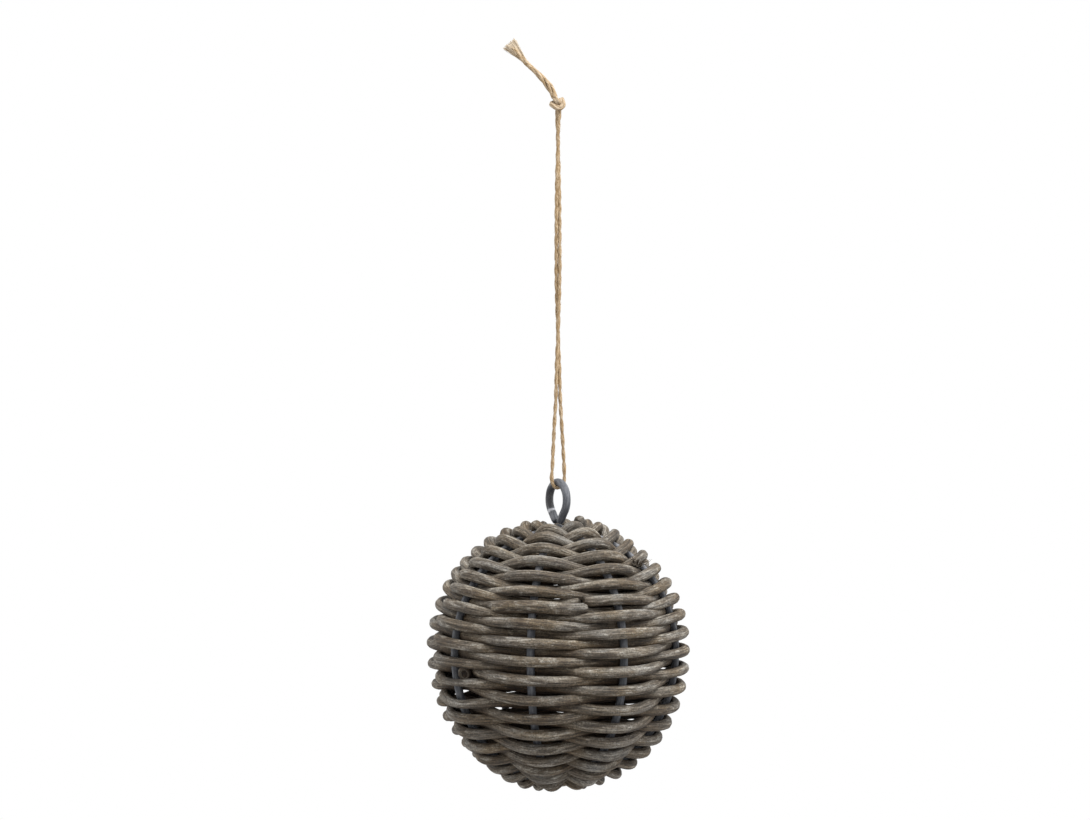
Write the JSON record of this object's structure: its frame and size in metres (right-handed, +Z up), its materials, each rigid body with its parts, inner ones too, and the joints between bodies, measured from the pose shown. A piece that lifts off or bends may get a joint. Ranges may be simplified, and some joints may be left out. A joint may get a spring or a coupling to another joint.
{
  "type": "hanging woven rattan ball ornament",
  "caption": "Round hanging ornament of grey rattan woven in and out of a wire rib frame, with a welded wire ring and a knotted jute twine loop.",
  "frame": {"origin": "hanging point just under the knot of the twine loop, where a hook carries the ball", "axes": "+Z up along the twine, -Y the front of the ball, +X to the right seen from the front"},
  "size_m": [0.1009, 0.1009, 0.291],
  "materials": {
    "painted_wire": "dull blue-grey paint, worn pale in places",
    "rattan": "weathered grey-brown, matt, with paler bark patches and lengthwise grain",
    "jute": "natural, matt and hairy"
  },
  "bodies": {
    "root": {"frame_rib_1": "painted_wire", "frame_rib_2": "painted_wire", "frame_rib_3": "painted_wire", "frame_rib_4": "painted_wire", "frame_rib_5": "painted_wire", "frame_rib_6": "painted_wire", "frame_rib_7": "painted_wire", "frame_rib_8": "painted_wire", "frame_top_weld": "painted_wire", "frame_bottom_weld": "painted_wire", "hanging_ring": "painted_wire", "rattan_a1": "rattan", "rattan_a2": "rattan", "rattan_a3": "rattan", "rattan_a4": "rattan", "rattan_b1": "rattan", "rattan_b2": "rattan", "rattan_b3": "rattan", "rattan_b4": "rattan", "twine_loop": "jute", "twine_knot": "jute", "twine_tail": "jute"}
  },
  "joints": []
}
